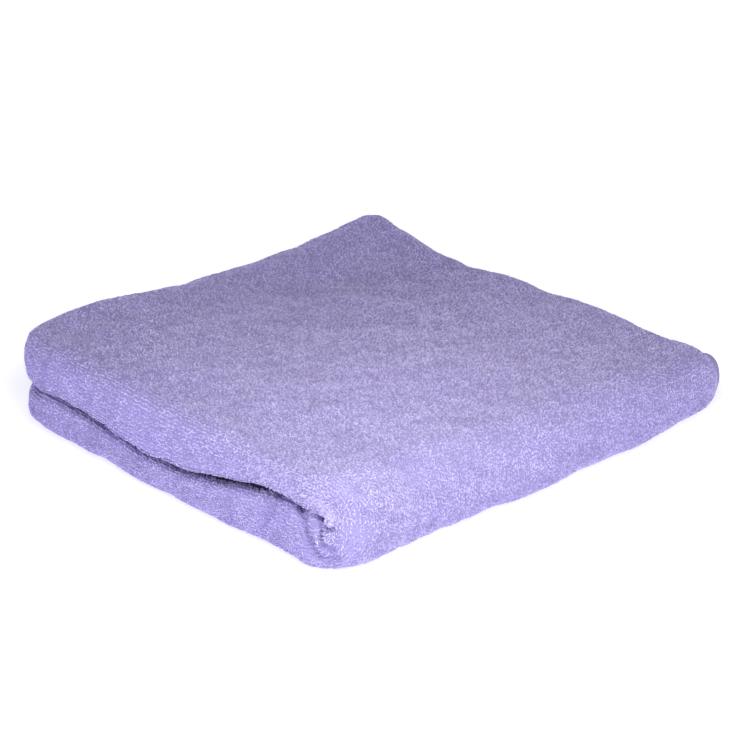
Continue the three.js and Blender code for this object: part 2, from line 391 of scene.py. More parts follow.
def relief(across, along):
    """How far the cloth's face stands proud of its smooth shape."""
    swell = 0
    for number, (height, reach) in enumerate(FACE_SWELLS):
        swell = swell + height * soft_noise(across, along, reach, SEED + number)
    # Calmer on the inner plies, in the slit and underneath, where the cloth is pressed
    inner = smooth((along - END_FOLD_AT - 2 * END_BEND) / 20)
    slit_side = smooth((across - ROLL_END) / 12)
    underside = smooth((ROLL_START + 4 - across) / 8) * smooth((MAIN_FOLD_START + 12 - along) / 12)
    swell = swell * (1 - 0.7 * inner) * (1 - 0.5 * slit_side) * (1 - 0.8 * underside)
    wander = 0.9 * soft_noise(across, along, 30, SEED + 4)
    ripple = RIPPLE_HEIGHT * np.sin(2 * math.pi * across / RIPPLE_LENGTH + wander)
    on_fold = smooth((along - MAIN_FOLD_START - 6) / 14) * smooth((MAIN_FOLD_END + 6 - along) / 24)
    near_roll = smooth((across - 150) / 30) * smooth((226 - across) / 12)
    return swell + gathered(across, along) + ripple * on_fold * near_roll


def cloth_point(across, along, depth):
    place = folded(across, along, depth)
    rise = relief(across, along)
    return place + outward(across, along, np.full_like(depth, OUTER_SKIN)) * rise[..., None]


def half_thickness(across, along):
    """Half the cloth's thickness there: pressed thin under the tape, then swelling to full."""
    from_edge = np.minimum(
        np.minimum(across, CLOTH_WIDTH - across), np.minimum(along, CLOTH_LENGTH - along)
    )
    swell = smooth((from_edge - BINDING_WIDTH) / EDGE_RAMP)
    return mixed(EDGE_THICKNESS, INNER_SKIN - OUTER_SKIN, swell) / 2


def painted_slit_shade(across):
    """1 where the rolled edge turns in to the slit: a band of painted shade that darkens the cloth
    and its loops there.
    """
    return smooth((across - ROLL_END + 4.3) / 1.2) * smooth((ROLL_END + 3 - across) / 3)


# ---------------------------------------------------------------- meshes
def stations(*stretches):
    """Joins stretches, each (from, to, greatest step), into one list of stations."""
    marks = [stretches[0][0]]
    for start, end, step in stretches:
        count = max(1, math.ceil(abs(end - start) / step))
        marks.extend(start + (end - start) * (i + 1) / count for i in range(count))
    return np.array(marks)


def add_mesh(name, points, faces, material):
    """points in millimetres; faces as lists of corners."""
    mesh = bpy.data.meshes.new(name)
    mesh.from_pydata((np.asarray(points) * MM).tolist(), [], faces)
    mesh.update()
    piece = bpy.data.objects.new(name, mesh)
    bpy.context.scene.collection.objects.link(piece)
    mesh.materials.append(material)
    mesh.shade_smooth()
    return piece


def slab_faces(rows, columns):
    """Closed slab: an outer grid, an inner grid behind it and the strip round their edge."""
    layer = rows * columns
    grid = np.arange(layer).reshape(rows, columns)
    corners = [grid[:-1, :-1], grid[1:, :-1], grid[1:, 1:], grid[:-1, 1:]]
    quads = np.stack(corners, -1).reshape(-1, 4)
    rim = np.concatenate([grid[:, 0], grid[-1, 1:], grid[-2::-1, -1], grid[0, -2:0:-1]])
    after = np.roll(rim, -1)
    wall = np.stack([rim, after, after + layer, rim + layer], -1)
    return np.concatenate([quads[:, ::-1], quads + layer, wall]).tolist()


def store(piece, name, values):
    attribute = piece.data.attributes.new(name, "FLOAT", "POINT")
    attribute.data.foreach_set("value", np.asarray(values, np.float32).ravel())


def lay_flat_map(piece, across, along):
    """UV map in metres of flat cloth."""
    layer = piece.data.uv_layers.new(name="flat")
    corner = np.empty(len(piece.data.loops), np.int32)
    piece.data.loops.foreach_get("vertex_index", corner)
    flat = np.stack([across, along], -1).reshape(-1, 2)[corner] * MM
    layer.data.foreach_set("uv", flat.astype(np.float32).ravel())


def bend_over_main_fold(piece, along):
    """The piece crosses the main fold and rides on no body: its transform is baked into its mesh.
    """
    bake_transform(piece)


# ---------------------------------------------------------------- materials
def new_material(name):
    material = bpy.data.materials.new(name)
    material.use_nodes = True
    tree = material.node_tree
    return material, tree, tree.nodes["Principled BSDF"]


def tone_between(tree, share, dark, light):
    """A colour between two, by a share from 0 to 1."""
    tone = tree.nodes.new("ShaderNodeMix")
    tone.data_type = "RGBA"
    tone.inputs["A"].default_value = (*dark, 1)
    tone.inputs["B"].default_value = (*light, 1)
    tree.links.new(share, tone.inputs["Factor"])
    return tone.outputs["Result"]


def attribute_share(tree, name):
    attribute = tree.nodes.new("ShaderNodeAttribute")
    attribute.attribute_name = name
    return attribute.outputs["Fac"]


def multiplied(tree, first, second):
    wash = tree.nodes.new("ShaderNodeMix")
    wash.data_type = "RGBA"
    wash.blend_type = "MULTIPLY"
    wash.inputs["Factor"].default_value = 1
    tree.links.new(first, wash.inputs["A"])
    tree.links.new(second, wash.inputs["B"])
    return wash.outputs["Result"]


def noise(tree, vector, scale, detail):
    texture = tree.nodes.new("ShaderNodeTexNoise")
    texture.inputs["Scale"].default_value = scale
    texture.inputs["Detail"].default_value = detail
    tree.links.new(vector, texture.inputs["Vector"])
    return texture.outputs["Fac"]


def flat_place(tree):
    """Where on the flat piece a point is, in metres."""
    flat = tree.nodes.new("ShaderNodeUVMap")
    flat.uv_map = "flat"
    return flat.outputs["UV"]


def ribs(tree, vector, scale, distortion):
    texture = tree.nodes.new("ShaderNodeTexWave")
    texture.bands_direction = "Y"
    texture.inputs["Scale"].default_value = scale
    texture.inputs["Distortion"].default_value = distortion
    tree.links.new(vector, texture.inputs["Vector"])
    return texture.outputs["Fac"]


def add_bump(tree, shader, height, distance, strength):
    bump = tree.nodes.new("ShaderNodeBump")
    bump.inputs["Distance"].default_value = distance
    bump.inputs["Strength"].default_value = strength
    tree.links.new(height, bump.inputs["Height"])
    tree.links.new(bump.outputs["Normal"], shader.inputs["Normal"])


def loop_finish():
    """Lavender terry yarn: painted shade at each loop's root, each loop its own tone, and a dull
    sheen.
    """
    material, tree, shader = new_material("lavender_loops")
    tint = attribute_share(tree, "tint")
    yarn = tone_between(tree, tint, (0.305, 0.250, 0.590), (0.640, 0.560, 0.960))
    # Painted shade: each loop darkens towards its root, standing in for the shade between the loops
    root = tone_between(tree, attribute_share(tree, "tip"), (0.50, 0.47, 0.62), (1, 1, 1))
    tree.links.new(multiplied(tree, yarn, root), shader.inputs["Base Color"])
    place = tree.nodes.new("ShaderNodeTexCoord")
    add_bump(tree, shader, noise(tree, place.outputs["Object"], 4000, 1), 0.0002, 0.5)
    shader.inputs["Roughness"].default_value = 0.92
    shader.inputs["Sheen Weight"].default_value = 0.22
    shader.inputs["Sheen Roughness"].default_value = 0.6
    return material


def ground_finish():
    """The knitted ground under the loops: rows about 1 mm apart, mottled, darkened as painted
    shade.
    """
    material, tree, shader = new_material("lavender_ground")
    flat = flat_place(tree)
    speckle = noise(tree, flat, 900, 2)
    # Painted shade: the ground is darker than the loops' yarn, standing in for the shade between
    # them
    yarn = tone_between(tree, speckle, (0.225, 0.190, 0.460), (0.345, 0.300, 0.620))
    cloud = noise(tree, flat, 38, 3)
    cloudy = tone_between(tree, cloud, (1, 1, 1), (0.88, 0.87, 0.93))
    mottled = multiplied(tree, yarn, cloudy)
    # Painted shade: the cloth in the slit is darkened almost to black, standing in for its shade
    painted_slit_darkening = tone_between(tree, attribute_share(tree, "painted_slit_shade"), (1, 1, 1), (0.04, 0.02, 0.20))
    tree.links.new(multiplied(tree, mottled, painted_slit_darkening), shader.inputs["Base Color"])
    add_bump(tree, shader, speckle, 0.0006, 0.6)
    shader.inputs["Roughness"].default_value = 0.95
    shader.inputs["Sheen Weight"].default_value = 0.15
    return material


def tape_finish():
    """Woven binding tape: fine ribs across it, a little deeper in tone than the pile."""
    material, tree, shader = new_material("lavender_tape")
    flat = flat_place(tree)
    rib = ribs(tree, flat, 480, 0.6)
    yarn = tone_between(tree, rib, (0.235, 0.200, 0.470), (0.340, 0.300, 0.620))
    wear = noise(tree, flat, 160, 3)
    worn = tone_between(tree, wear, (1, 1, 1), (0.82, 0.81, 0.88))
    tree.links.new(multiplied(tree, yarn, worn), shader.inputs["Base Color"])
    add_bump(tree, shader, rib, 0.0003, 0.7)
    shader.inputs["Roughness"].default_value = 0.8
    return material


def thread_finish():
    """Twisted sewing thread."""
    material, tree, shader = new_material("lilac_thread")
    place = tree.nodes.new("ShaderNodeTexCoord")
    twist = noise(tree, place.outputs["Object"], 2600, 2)
    yarn = tone_between(tree, twist, (0.440, 0.400, 0.720), (0.700, 0.660, 0.930))
    tree.links.new(yarn, shader.inputs["Base Color"])
    add_bump(tree, shader, twist, 0.0002, 0.6)
    shader.inputs["Roughness"].default_value = 0.55
    return material


def satin_finish():
    """White woven label satin with a faint grain along its length."""
    material, tree, shader = new_material("white_satin")
    grain = ribs(tree, flat_place(tree), 700, 0.3)
    yarn = tone_between(tree, grain, (0.74, 0.74, 0.75), (0.86, 0.86, 0.86))
    tree.links.new(yarn, shader.inputs["Base Color"])
    add_bump(tree, shader, grain, 0.0001, 0.5)
    shader.inputs["Roughness"].default_value = 0.42
    return material


# ---------------------------------------------------------------- the cloth
def make_cloth(material):
    across = stations(
        (0, BINDING_WIDTH, 3),
        (BINDING_WIDTH, BINDING_WIDTH + EDGE_RAMP, 2),
        (BINDING_WIDTH + EDGE_RAMP, ROLL_START, 2.5),
        (ROLL_START, ROLL_END, 1.2),
        (ROLL_END, CLOTH_WIDTH - BINDING_WIDTH - EDGE_RAMP, 8),
        (CLOTH_WIDTH - BINDING_WIDTH - EDGE_RAMP, CLOTH_WIDTH - BINDING_WIDTH, 2.7),
        (CLOTH_WIDTH - BINDING_WIDTH, CLOTH_WIDTH, 4.5),
    )
    along = stations(
        (0, BINDING_WIDTH, 3),
        (BINDING_WIDTH, BINDING_WIDTH + EDGE_RAMP, 2),
        (BINDING_WIDTH + EDGE_RAMP, MAIN_FOLD_START - 50, 5),
        (MAIN_FOLD_START - 50, MAIN_FOLD_START, 2),
        (MAIN_FOLD_START, MAIN_FOLD_END, 1.5),
        (MAIN_FOLD_END, END_FOLD_AT, 2.5),
        (END_FOLD_AT, END_FOLD_AT + 2 * END_BEND, 1),
        (END_FOLD_AT + 2 * END_BEND, CLOTH_LENGTH - MAIN_FOLD_END, 8),
        (CLOTH_LENGTH - MAIN_FOLD_END, CLOTH_LENGTH - MAIN_FOLD_START, 3),
        (CLOTH_LENGTH - MAIN_FOLD_START, CLOTH_LENGTH - BINDING_WIDTH - EDGE_RAMP, 8),
        (CLOTH_LENGTH - BINDING_WIDTH - EDGE_RAMP, CLOTH_LENGTH - BINDING_WIDTH, 2.7),
        (CLOTH_LENGTH - BINDING_WIDTH, CLOTH_LENGTH, 4.5),
    )
    u, v = np.meshgrid(across, along, indexing="ij")
    half = half_thickness(u, v)
    middle = PLY_PITCH / 2
    points = np.concatenate([
        cloth_point(u, v, middle - half).reshape(-1, 3),
        cloth_point(u, v, middle + half).reshape(-1, 3),
    ])
    cloth = add_mesh("terry_cloth", points, slab_faces(*u.shape), material)
    lay_flat_map(cloth, np.tile(u.ravel(), 2), np.tile(v.ravel(), 2))
    store(cloth, "painted_slit_shade", np.tile(painted_slit_shade(u).ravel(), 2))
    bend_over_main_fold(cloth, np.tile(v.ravel(), 2))
    return cloth


# ---------------------------------------------------------------- bindings
def tape_section():
    """Closed outline of the folded tape: (inwards from the edge, rise from mid cloth)."""
    inner = EDGE_THICKNESS / 2 + BINDING_CLEARANCE
    outer = inner + BINDING_THICKNESS
    turns = np.linspace(0, math.pi, 9)
    flat_run = np.linspace(BINDING_WIDTH, 0, 6)[:-1]
    shell = [(i, outer) for i in flat_run]
    shell += [(-outer * math.sin(t), outer * math.cos(t)) for t in turns]
    shell += [(i, -outer) for i in flat_run[::-1]]
    lining = [(i, -inner) for i in flat_run]
    lining += [(-inner * math.sin(t), -inner * math.cos(t)) for t in turns]
    lining += [(i, inner) for i in flat_run[::-1]]
    return np.array(shell + lining)


def tube_faces(rings, around):
    """Faces of a closed tube of that many rings, with both ends capped."""
    grid = np.arange(rings * around).reshape(rings, around)
    after = np.roll(grid, -1, axis=1)
    sides = np.stack([grid[:-1], after[:-1], after[1:], grid[1:]], -1).reshape(-1, 4)
    return sides.tolist() + [grid[0, ::-1].tolist(), grid[-1].tolist()]


def make_binding(name, edge, runs, material):
    """Tape round one edge. edge says which, and runs are the stations along it."""
    section = tape_section()
    inwards, rise = section[None, :, 0], section[None, :, 1]
    lengthways = runs[:, None] + 0 * inwards
    wander = TAPE_WANDER * soft_noise(lengthways, 0 * lengthways, TAPE_WANDER_REACH, SEED + 5)
    inwards = inwards + wander * (inwards > BINDING_WIDTH - 0.1)
    middle = PLY_PITCH / 2 - rise + 0 * lengthways
    places = {
        "side_a": (inwards, lengthways),
        "side_b": (CLOTH_WIDTH - inwards, lengthways),
        "end_a": (lengthways, inwards),
        "end_b": (lengthways, CLOTH_LENGTH - inwards),
    }
    across, along = places[edge]
    faces = tube_faces(*lengthways.shape)
    if edge in ("side_b", "end_a"):
        faces = [face[::-1] for face in faces]
    binding = add_mesh(name, cloth_point(across, along, middle).reshape(-1, 3), faces, material)
    girth = np.concatenate([[0], np.cumsum(np.hypot(*np.diff(section, axis=0).T))])
    lay_flat_map(binding, girth[None, :] + 0 * lengthways, lengthways)
    return binding, along


# ---------------------------------------------------------------- what repeats
def turned(normal, heading):
    """Euler turns that stand an item on normal and point it along heading."""
    side = np.cross(normal, heading)
    side /= np.linalg.norm(side, axis=-1, keepdims=True)
    ahead = np.cross(side, normal)
    tilt = np.arcsin(np.clip(-ahead[..., 2], -1, 1))
    roll = np.arctan2(side[..., 2], normal[..., 2])
    spin = np.arctan2(ahead[..., 1], ahead[..., 0])
    return np.stack([roll, tilt, spin], -1)


def seeded_mesh(name, places, **attributes):
    """Loose points that a node tree grows something on."""
    mesh = bpy.data.meshes.new(name)
    mesh.from_pydata((places * MM).tolist(), [], [])
    for label, values in attributes.items():
        kind, key = ("FLOAT_VECTOR", "vector") if values.ndim == 2 else ("FLOAT", "value")
        layer = mesh.attributes.new(label, kind, "POINT")
        layer.data.foreach_set(key, values.astype(np.float32).ravel())
    piece = bpy.data.objects.new(name, mesh)
    bpy.context.scene.collection.objects.link(piece)
    return piece


def new_tree(name, sizes):
    """An empty Geometry Nodes tree whose inputs are the geometry, a seed and those sizes."""
    tree = bpy.data.node_groups.new(name, "GeometryNodeTree")
    tree.interface.new_socket("Geometry", in_out="INPUT", socket_type="NodeSocketGeometry")
    tree.interface.new_socket("Seed", in_out="INPUT", socket_type="NodeSocketInt")
    for size in sizes:
        tree.interface.new_socket(size, in_out="INPUT", socket_type="NodeSocketFloat")
    tree.interface.new_socket("Geometry", in_out="OUTPUT", socket_type="NodeSocketGeometry")
    return tree, tree.nodes.new("NodeGroupInput")


def named_attribute(tree, name, kind):
    reader = tree.nodes.new("GeometryNodeInputNamedAttribute")
    reader.data_type = kind
    reader.inputs["Name"].default_value = name
    return reader.outputs["Attribute"]


def maths(tree, operation, first, second):
    node = tree.nodes.new("ShaderNodeMath")
    node.operation = operation
    for socket, value in zip(node.inputs, (first, second)):
        if isinstance(value, (int, float)):
            socket.default_value = value
        else:
            tree.links.new(value, socket)
    return node.outputs["Value"]


def scatter(tree, entry, item, material, spread):
    """Puts item on every point by its stored turn and size, and makes one plain mesh."""
    link = tree.links.new
    growth = tree.nodes.new("FunctionNodeRandomValue")
    growth.data_type = "FLOAT"
    growth.inputs["Min"].default_value = 1 - spread
    growth.inputs["Max"].default_value = 1 + spread
    link(entry.outputs["Seed"], growth.inputs["Seed"])
    place = tree.nodes.new("GeometryNodeInstanceOnPoints")
    link(entry.outputs["Geometry"], place.inputs["Points"])
    link(item, place.inputs["Instance"])
    link(named_attribute(tree, "turn", "FLOAT_VECTOR"), place.inputs["Rotation"])
    size = named_attribute(tree, "size", "FLOAT")
    random_growth = next(o for o in growth.outputs if o.enabled)
    link(maths(tree, "MULTIPLY", size, random_growth), place.inputs["Scale"])
    realize = tree.nodes.new("GeometryNodeRealizeInstances")
    link(place.outputs["Instances"], realize.inputs["Geometry"])
    smooth_shade = tree.nodes.new("GeometryNodeSetShadeSmooth")
    link(realize.outputs["Geometry"], smooth_shade.inputs["Geometry"])
    finish = tree.nodes.new("GeometryNodeSetMaterial")
    finish.inputs["Material"].default_value = material
    link(smooth_shade.outputs["Geometry"], finish.inputs["Geometry"])
    leave = tree.nodes.new("NodeGroupOutput")
    link(finish.outputs["Geometry"], leave.inputs["Geometry"])


def terry_tree(material):
    """Every point grows a small arch of yarn, rooted in the cloth at both ends."""
    tree, entry = new_tree("terry_pile", ("Loop Length", "Loop Height", "Yarn Radius"))
    link = tree.links.new
    half = maths(tree, "MULTIPLY", entry.outputs["Loop Length"], 0.5)
    ends = []
    for side in (-1, 0, 1):
        corner = tree.nodes.new("ShaderNodeCombineXYZ")
        link(maths(tree, "MULTIPLY", half, side), corner.inputs["X"])
        lift = 2.2 if side == 0 else -0.25
        link(maths(tree, "MULTIPLY", entry.outputs["Loop Height"], lift), corner.inputs["Z"])
        ends.append(corner.outputs["Vector"])
    arch = tree.nodes.new("GeometryNodeCurveQuadraticBezier")
    arch.inputs["Resolution"].default_value = 2
    for name, corner in zip(("Start", "Middle", "End"), ends):
        link(corner, arch.inputs[name])
    yarn = tree.nodes.new("GeometryNodeCurvePrimitiveCircle")
    yarn.inputs["Resolution"].default_value = 3
    link(entry.outputs["Yarn Radius"], yarn.inputs["Radius"])
    loop = tree.nodes.new("GeometryNodeCurveToMesh")
    loop.inputs["Fill Caps"].default_value = True
    link(arch.outputs["Curve"], loop.inputs["Curve"])
    link(yarn.outputs["Curve"], loop.inputs["Profile Curve"])
    position = tree.nodes.new("GeometryNodeInputPosition")
    parts = tree.nodes.new("ShaderNodeSeparateXYZ")
    link(position.outputs["Position"], parts.inputs["Vector"])
    tip = tree.nodes.new("GeometryNodeStoreNamedAttribute")
    tip.data_type = "FLOAT"
    tip.domain = "POINT"
    tip.inputs["Name"].default_value = "tip"
    link(loop.outputs["Mesh"], tip.inputs["Geometry"])
    share = maths(tree, "DIVIDE", parts.outputs["Z"], entry.outputs["Loop Height"])
    link(share, tip.inputs["Value"])
    scatter(tree, entry, tip.outputs["Geometry"], material, LOOP_SPREAD)
    return tree


def stitch_tree(material):
    """Every point grows one rounded stitch."""
    tree, entry = new_tree("lockstitch", ("Stitch Length", "Thread Thickness"))
    bead = tree.nodes.new("GeometryNodeMeshIcoSphere")
    bead.inputs["Radius"].default_value = 0.5
    bead.inputs["Subdivisions"].default_value = 1
    shape = tree.nodes.new("ShaderNodeCombineXYZ")
    tree.links.new(entry.outputs["Stitch Length"], shape.inputs["X"])
    tree.links.new(entry.outputs["Thread Thickness"], shape.inputs["Y"])
    tree.links.new(entry.outputs["Thread Thickness"], shape.inputs["Z"])
    drawn = tree.nodes.new("GeometryNodeTransform")
    tree.links.new(bead.outputs["Mesh"], drawn.inputs["Geometry"])
    tree.links.new(shape.outputs["Vector"], drawn.inputs["Scale"])
    scatter(tree, entry, drawn.outputs["Geometry"], material, STITCH_SPREAD)
    return tree


def grown(piece, tree, material, **inputs):
    """Runs a tree on the points and keeps its result as the piece's own plain mesh."""
    modifier = piece.modifiers.new(tree.name, "NODES")
    modifier.node_group = tree
    for item in tree.interface.items_tree:
        if item.in_out == "INPUT" and item.name in inputs:
            modifier[item.identifier] = inputs[item.name]
    depsgraph = bpy.context.evaluated_depsgraph_get()
    mesh = bpy.data.meshes.new_from_object(
        piece.evaluated_get(depsgraph), preserve_all_data_layers=True, depsgraph=depsgraph
    )
    piece.modifiers.clear()
    piece.data = mesh
    mesh.name = piece.name
    if not mesh.materials:
        mesh.materials.append(material)
    return piece


def along_of(piece):
    values = np.empty(len(piece.data.vertices), np.float32)
    piece.data.attributes["along"].data.foreach_get("value", values)
    return values


def tenth(length):
    """The whole tenth of a millimetre below a length: the patches meet on these."""
    return math.floor(10 * length) / 10


# Stretches of pile: name, across, along, spacing, loop size, how many pieces and the body they
# ride on. Those with no body go round the main fold. They stop just inside the tape.
PILE_EDGE = BINDING_WIDTH + 2 * PIECE_GAP
SLIT_RUN = (tenth(ROLL_END + 0.5), CLOTH_WIDTH - PILE_EDGE)
FACE_RUN = (PILE_EDGE, tenth(ROLL_START))
ROLL_RUN = (tenth(ROLL_START), tenth(ROLL_END - 1.5))
LOWER_RUN = (PILE_EDGE, tenth(MAIN_FOLD_START))
FOLD_RUN = (tenth(MAIN_FOLD_START), tenth(MAIN_FOLD_END))
UPPER_RUN = (tenth(MAIN_FOLD_END), tenth(END_FOLD_AT + 0.3))
END_RUN = (tenth(END_FOLD_AT + 0.3), tenth(END_FOLD_AT + 2 * END_BEND))
FOLD_INSIDE_RUN = (tenth(ROLL_END), CLOTH_WIDTH - PILE_EDGE)
PILE_PATCHES = (
    ("upper_face_pile", FACE_RUN, UPPER_RUN, 1.2, 1, 4, "upper_half"),
    ("main_fold_pile", (PILE_EDGE, tenth(ROLL_END)), FOLD_RUN, 1.2, 1, 2, None),
    ("upper_roll_pile", ROLL_RUN, UPPER_RUN, 1.08, 1, 1, "upper_half"),
    ("lower_roll_pile", ROLL_RUN, LOWER_RUN, 1.08, 1, 1, "lower_half"),
    ("end_fold_pile", (PILE_EDGE, CLOTH_WIDTH - PILE_EDGE), END_RUN, 1.1, 1, 1, "upper_half"),
    ("upper_slit_pile", SLIT_RUN, UPPER_RUN, 2.5, 1.5, 1, "upper_half"),
    ("lower_slit_pile", SLIT_RUN, LOWER_RUN, 2.5, 1.5, 1, "lower_half"),
    ("fold_slit_pile", FOLD_INSIDE_RUN, FOLD_RUN, 2.5, 1.5, 1, None),
    ("underside_pile", FACE_RUN, LOWER_RUN, 2.3, 0.8, 1, "lower_half"),
)
# Pile and furrows: share of the slit's band of painted shade where loops stop, and the furrow
# depth at which painted shade darkens a loop fully
BARE_FROM = 0.6
FULL_SHADE_DEPTH = 2.4


def pile_points(name, across_run, along_run, spacing, loop_size, seed):
    """Jittered roots on the outer face, in rows along the strip."""
    random = np.random.default_rng(seed)
    rows = max(1, round((across_run[1] - across_run[0]) / spacing))
    columns = max(1, round((along_run[1] - along_run[0]) / spacing))
    across, along = np.meshgrid(np.arange(rows) + 0.5, np.arange(columns) + 0.5, indexing="ij")
    along = along + 0.5 * (np.arange(rows)[:, None] % 2) - 0.25
    across = across + random.uniform(-LOOP_ASIDE, LOOP_ASIDE, across.shape)
    along = along + random.uniform(-LOOP_ALONG, LOOP_ALONG, along.shape)
    across, along = across_run[0] + across * spacing, along_run[0] + along * spacing
    bare = painted_slit_shade(across) > BARE_FROM
    across, along = across[~bare], along[~bare]
    skin = PLY_PITCH / 2 - half_thickness(across, along)
    roots = cloth_point(across, along, skin)
    normal = outward(across, along, skin)
    ahead = folded(across, along + 0.4, skin) - folded(across, along - 0.4, skin)
    ahead /= np.linalg.norm(ahead, axis=-1, keepdims=True)
    aside = np.cross(normal, ahead)
    turn = random.normal(0, LOOP_TURN, across.shape)[:, None]
    lean = random.normal(0, LOOP_LEAN, (2, len(across)))[..., None]
    normal = normal + lean[0] * ahead + lean[1] * aside
    normal /= np.linalg.norm(normal, axis=-1, keepdims=True)
    heading = ahead * np.cos(turn) + aside * np.sin(turn)
    tint = TONE_MIDDLE + random.uniform(-TONE_SPREAD, TONE_SPREAD, across.shape)
    for number, (strength, reach) in enumerate(TONE_CLOUDS):
        tint = tint + strength * soft_noise(across, along, reach, SEED + 6 + number)
    # Painted shade: loops are darkened by the depth of the crease furrow they stand in, and in the
    # slit
    shade = np.clip(-gathered(across, along) / FULL_SHADE_DEPTH, 0, 1)
    tint = (np.clip(tint, 0, 1) - 0.9 * shade) * (1 - 0.9 * painted_slit_shade(across))
    size = np.full_like(across, loop_size)
    return seeded_mesh(name, roots, turn=turned(normal, heading), tint=tint, size=size, along=along)


def make_pile(material):
    tree = terry_tree(material)
    patches = []
    for number, patch_plan in enumerate(PILE_PATCHES):
        name, across_run, along_run, spacing, loop_size, count, body = patch_plan
        bounds = np.linspace(*across_run, count + 1)
        for part in range(count):
            label = name if count == 1 else f"{name}_{part + 1}"
            seed = SEED + 100 + 10 * number + part
            run = (bounds[part], bounds[part + 1])
            patch = pile_points(label, run, along_run, spacing, loop_size, seed)
            sizes = {
                "Seed": seed,
                "Loop Length": LOOP_LENGTH * MM,
                "Loop Height": LOOP_HEIGHT * MM,
                "Yarn Radius": YARN_RADIUS * MM,
            }
            grown(patch, tree, material, **sizes)
            if body:
                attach(patch, body)
            else:
                bend_over_main_fold(patch, along_of(patch))
            patches.append(patch)
    return patches


def stitch_points(name, edges, seed):
    """Two rows of stitches, one on each face of the tape, along each edge named."""
    random = np.random.default_rng(seed)
    face_rise = EDGE_THICKNESS / 2 + BINDING_CLEARANCE + BINDING_THICKNESS
    inwards = BINDING_WIDTH - STITCH_FROM_TAPE_EDGE
    corner = BINDING_WIDTH + PIECE_GAP
    rows = []
    for edge in edges:
        long_side = edge.startswith("side")
        start = STITCH_FROM_CLOTH_END if long_side else corner + STITCH_FROM_CORNER
        end = (CLOTH_LENGTH if long_side else CLOTH_WIDTH) - start
        run = np.arange(start, end, STITCH_PITCH)
        run = run + random.uniform(-STITCH_JITTER, STITCH_JITTER, run.shape)
        near = {"side_a": inwards, "side_b": CLOTH_WIDTH - inwards}.get(edge)
        far = {"end_a": inwards, "end_b": CLOTH_LENGTH - inwards}.get(edge)
        across = np.full_like(run, near) if long_side else run
        along = run if long_side else np.full_like(run, far)
        step = (0 * run, 0 * run + 0.5) if long_side else (0 * run + 0.5, 0 * run)
        for rise in (-face_rise, face_rise):
            depth = np.full_like(run, PLY_PITCH / 2 + rise)
            places = cloth_point(across, along, depth)
            normal = outward(across, along, depth) * -np.sign(rise)
            heading = cloth_point(across + step[0], along + step[1], depth) - places
            rows.append((places, turned(normal, heading), along))
    places, turn, along = (np.concatenate(parts) for parts in zip(*rows))
    return seeded_mesh(name, places, turn=turn, size=np.ones(len(along)), along=along)


def make_stitches(material):
    tree = stitch_tree(material)
    groups = {
        "side_a_stitches": ("side_a",),
        "side_b_stitches": ("side_b",),
        "end_stitches": ("end_a", "end_b"),
    }
    made = []
    for number, (name, edges) in enumerate(groups.items()):
        row = stitch_points(name, edges, SEED + 300 + number)
        sizes = {
            "Seed": SEED + number,
            "Stitch Length": STITCH_LENGTH * MM,
            "Thread Thickness": THREAD_THICKNESS * MM,
        }
        grown(row, tree, material, **sizes)
        if name == "end_stitches":
            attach(row, "lower_half")
        else:
            bend_over_main_fold(row, along_of(row))
        made.append(row)
    return made


# ---------------------------------------------------------------- bindings and label on the pack
def make_bindings(material):
    corner = BINDING_WIDTH + PIECE_GAP
    lengthways = stations(
        (0, MAIN_FOLD_START, 3),
        (MAIN_FOLD_START, MAIN_FOLD_END, 1.5),
        (MAIN_FOLD_END, END_FOLD_AT, 3),
        (END_FOLD_AT, END_FOLD_AT + 2 * END_BEND, 0.8),
        (END_FOLD_AT + 2 * END_BEND, CLOTH_LENGTH - MAIN_FOLD_END, 3),
        (CLOTH_LENGTH - MAIN_FOLD_END, CLOTH_LENGTH - MAIN_FOLD_START, 1.5),
        (CLOTH_LENGTH - MAIN_FOLD_START, CLOTH_LENGTH, 3),
    )
    crossways = stations(
        (corner, ROLL_START, 3),
        (ROLL_START, ROLL_END, 1.2),
        (ROLL_END, CLOTH_WIDTH - corner, 3),
    )
    made = []
    for side in ("side_a", "side_b"):
        tape, along = make_binding(f"{side}_binding_tape", side, lengthways, material)
        bend_over_main_fold(tape, along)
        stretches = ("lower_outer", "fold_outer", "upper", "fold_inner", "lower_inner")
        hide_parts(*(f"{side}_binding_{stretch}" for stretch in stretches))
        made.append(tape)
    for end in ("end_a", "end_b"):
        tape, _ = make_binding(f"{end}_binding_tape", end, crossways, material)
        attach(tape, "lower_half")
        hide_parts(f"{end}_binding")
        made.append(tape)
    return made


